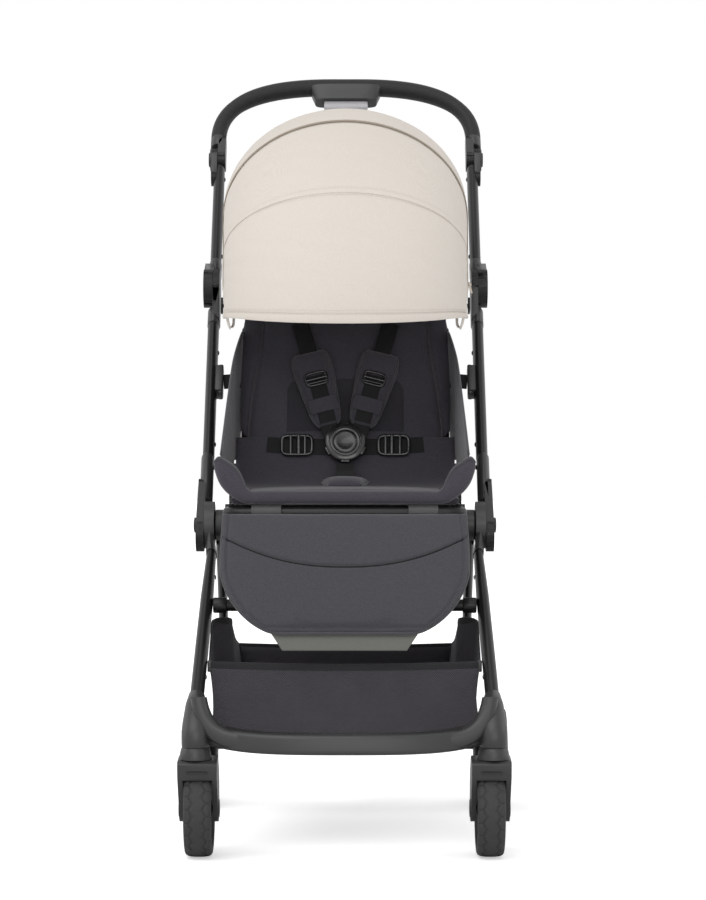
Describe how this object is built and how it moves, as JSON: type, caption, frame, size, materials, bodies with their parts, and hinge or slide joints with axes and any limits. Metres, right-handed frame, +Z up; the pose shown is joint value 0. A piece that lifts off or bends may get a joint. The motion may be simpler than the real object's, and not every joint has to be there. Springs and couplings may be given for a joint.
{
  "type": "compact stroller",
  "caption": "Compact folding stroller with swivel front wheels, bowed canopy, reclining harness seat, lifting leg rest and basket.",
  "frame": {"origin": "on the ground, at the middle of the stroller's bounding box", "axes": "+Z up, +Y towards the person who pushes, X across, so the seat faces -Y"},
  "size_m": [0.485, 0.8048, 1.1087],
  "materials": {
    "plastic": "satin moulded plastic",
    "frame_grey": "dark grey coated tube, low gloss",
    "rubber": "matt tread rubber",
    "leather": "fine grained black leatherette",
    "seat_cloth": "charcoal woven cloth",
    "leg_cloth": "mid grey woven cloth",
    "canopy_cloth": "cream canopy cloth",
    "mesh_cloth": "dark net cloth",
    "webbing": "black webbing",
    "buckle": "glossy black",
    "board": "grey-green board",
    "trigger_grey": "pale grey"
  },
  "bodies": {
    "front_frame": {"left_front_leg": "frame_grey", "right_front_leg": "frame_grey", "left_leg_hub": "plastic", "right_leg_hub": "plastic", "front_bar": "plastic", "front_cross_tube": "frame_grey", "basket": "mesh_cloth", "seat_frame": "frame_grey", "seat_cushion": "seat_cloth", "front_lip": "seat_cloth", "crotch_pad": "seat_cloth", "crotch_strap": "webbing", "back_skirt": "seat_cloth"},
    "lower_push": {"left_push_knuckle": "plastic", "right_push_knuckle": "plastic", "left_lower_push_tube": "frame_grey", "right_lower_push_tube": "frame_grey"},
    "upper_push": {"left_upper_push_tube": "frame_grey", "right_upper_push_tube": "frame_grey"},
    "handlebar": {"handlebar_grip": "leather", "release_housing": "plastic"},
    "fold_trigger": {"fold_trigger": "trigger_grey"},
    "left_tilt_button": {"left_tilt_button": "plastic"},
    "right_tilt_button": {"right_tilt_button": "plastic"},
    "rear_frame": {"left_rear_leg": "frame_grey", "right_rear_leg": "frame_grey", "rear_axle": "frame_grey"},
    "brake_pedal": {"brake_pedal": "plastic"},
    "left_rear_wheel": {"left_rear_tyre": "rubber", "left_rear_rim": "plastic"},
    "right_rear_wheel": {"right_rear_tyre": "rubber", "right_rear_rim": "plastic"},
    "left_caster": {"left_caster_fork": "plastic"},
    "right_caster": {"right_caster_fork": "plastic"},
    "left_front_wheel": {"left_front_tyre": "rubber", "left_front_rim": "plastic"},
    "right_front_wheel": {"right_front_tyre": "rubber", "right_front_rim": "plastic"},
    "backrest": {"backrest_frame": "frame_grey", "backrest_cushion": "seat_cloth", "insert_pad": "seat_cloth", "left_shoulder_pad": "seat_cloth", "right_shoulder_pad": "seat_cloth", "waist_strap": "webbing", "buckle": "buckle", "canopy_rear_bow": "plastic", "canopy_fabric": "canopy_cloth", "left_side_panel": "seat_cloth", "right_side_panel": "seat_cloth", "left_recline_strap": "webbing", "right_recline_strap": "webbing"},
    "buckle_button": {"buckle_button": "buckle"},
    "front_bow": {"canopy_front_bow": "plastic"},
    "forward_middle_bow": {"canopy_forward_middle_bow": "plastic"},
    "rear_middle_bow": {"canopy_rear_middle_bow": "plastic"},
    "legrest": {"legrest_board": "board", "legrest_pad": "leg_cloth"}
  },
  "joints": [
    {"name": "frame_fold", "type": "hinge", "parent": "front_frame", "child": "lower_push", "pos_m": [0, -0.1115, 0.4265], "axis": [-1, 0, 0], "range_deg": [0, 134]},
    {"name": "elbow_fold", "type": "hinge", "parent": "lower_push", "child": "upper_push", "pos_m": [0, 0.1385, 0.7676], "axis": [1, 0, 0], "range_deg": [0, 154.2]},
    {"name": "rear_leg_fold", "type": "hinge", "parent": "front_frame", "child": "rear_frame", "pos_m": [0, -0.1115, 0.4265], "axis": [-1, 0, 0], "range_deg": [0, 45.1]},
    {"name": "handle_tilt", "type": "hinge", "parent": "upper_push", "child": "handlebar", "pos_m": [0, 0.3103, 0.9745], "axis": [-1, 0, 0], "range_deg": [-20, 25]},
    {"name": "fold_trigger_squeeze", "type": "slide", "parent": "handlebar", "child": "fold_trigger", "axis": [0, 0.5427, 0.8399], "range_m": [0, 0.006], "stiffness_N_per_m": 300},
    {"name": "left_tilt_button_press", "type": "slide", "parent": "upper_push", "child": "left_tilt_button", "axis": [1, 0, 0], "range_m": [0, 0.0022], "stiffness_N_per_m": 300},
    {"name": "right_tilt_button_press", "type": "slide", "parent": "upper_push", "child": "right_tilt_button", "axis": [-1, 0, 0], "range_m": [0, 0.0022], "stiffness_N_per_m": 300},
    {"name": "brake_press", "type": "hinge", "parent": "rear_frame", "child": "brake_pedal", "pos_m": [0, 0.1904, 0.0925], "axis": [-1, 0, 0], "range_deg": [0, 20]},
    {"name": "recline", "type": "hinge", "parent": "front_frame", "child": "backrest", "pos_m": [0, 0.0305, 0.5], "axis": [1, 0, 0], "range_deg": [-27, 42], "deforming": ["left_side_panel", "right_side_panel", "left_recline_strap", "right_recline_strap", "crotch_strap"]},
    {"name": "buckle_press", "type": "slide", "parent": "backrest", "child": "buckle_button", "axis": [0, 0.9455, -0.3256], "range_m": [0, 0.0025], "stiffness_N_per_m": 300},
    {"name": "canopy_fold", "type": "hinge", "parent": "backrest", "child": "front_bow", "pos_m": [0, 0.0985, 0.74], "axis": [-1, 0, 0], "range_deg": [0, 85], "deforming": ["canopy_fabric"]},
    {"name": "forward_middle_bow_fold", "type": "hinge", "parent": "backrest", "child": "forward_middle_bow", "pos_m": [0, 0.0985, 0.74], "axis": [-1, 0, 0], "range_deg": [0, 54.6]},
    {"name": "rear_middle_bow_fold", "type": "hinge", "parent": "backrest", "child": "rear_middle_bow", "pos_m": [0, 0.0985, 0.74], "axis": [-1, 0, 0], "range_deg": [0, 31.1]},
    {"name": "legrest_lift", "type": "hinge", "parent": "front_frame", "child": "legrest", "pos_m": [0, -0.2215, 0.446], "axis": [-1, 0, 0], "range_deg": [0, 70]},
    {"name": "left_caster_swivel", "type": "hinge", "parent": "front_frame", "child": "left_caster", "pos_m": [-0.1925, -0.3565, 0.1466], "axis": [0, 0, 1], "continuous": true},
    {"name": "left_front_wheel_spin", "type": "hinge", "parent": "left_caster", "child": "left_front_wheel", "pos_m": [-0.1895, -0.3215, 0.063], "axis": [1, 0, 0], "continuous": true},
    {"name": "left_rear_wheel_spin", "type": "hinge", "parent": "rear_frame", "child": "left_rear_wheel", "pos_m": [-0.2225, 0.2085, 0.0725], "axis": [1, 0, 0], "continuous": true},
    {"name": "right_caster_swivel", "type": "hinge", "parent": "front_frame", "child": "right_caster", "pos_m": [0.1925, -0.3565, 0.1466], "axis": [0, 0, 1], "continuous": true},
    {"name": "right_front_wheel_spin", "type": "hinge", "parent": "right_caster", "child": "right_front_wheel", "pos_m": [0.1895, -0.3215, 0.063], "axis": [1, 0, 0], "continuous": true},
    {"name": "right_rear_wheel_spin", "type": "hinge", "parent": "rear_frame", "child": "right_rear_wheel", "pos_m": [0.2225, 0.2085, 0.0725], "axis": [1, 0, 0], "continuous": true}
  ],
  "couplings": [
    {"joint": "elbow_fold", "follows": "frame_fold", "ratio": 1.15},
    {"joint": "rear_leg_fold", "follows": "frame_fold", "ratio": 0.336},
    {"joint": "forward_middle_bow_fold", "follows": "canopy_fold", "ratio": 0.641},
    {"joint": "rear_middle_bow_fold", "follows": "canopy_fold", "ratio": 0.365}
  ]
}
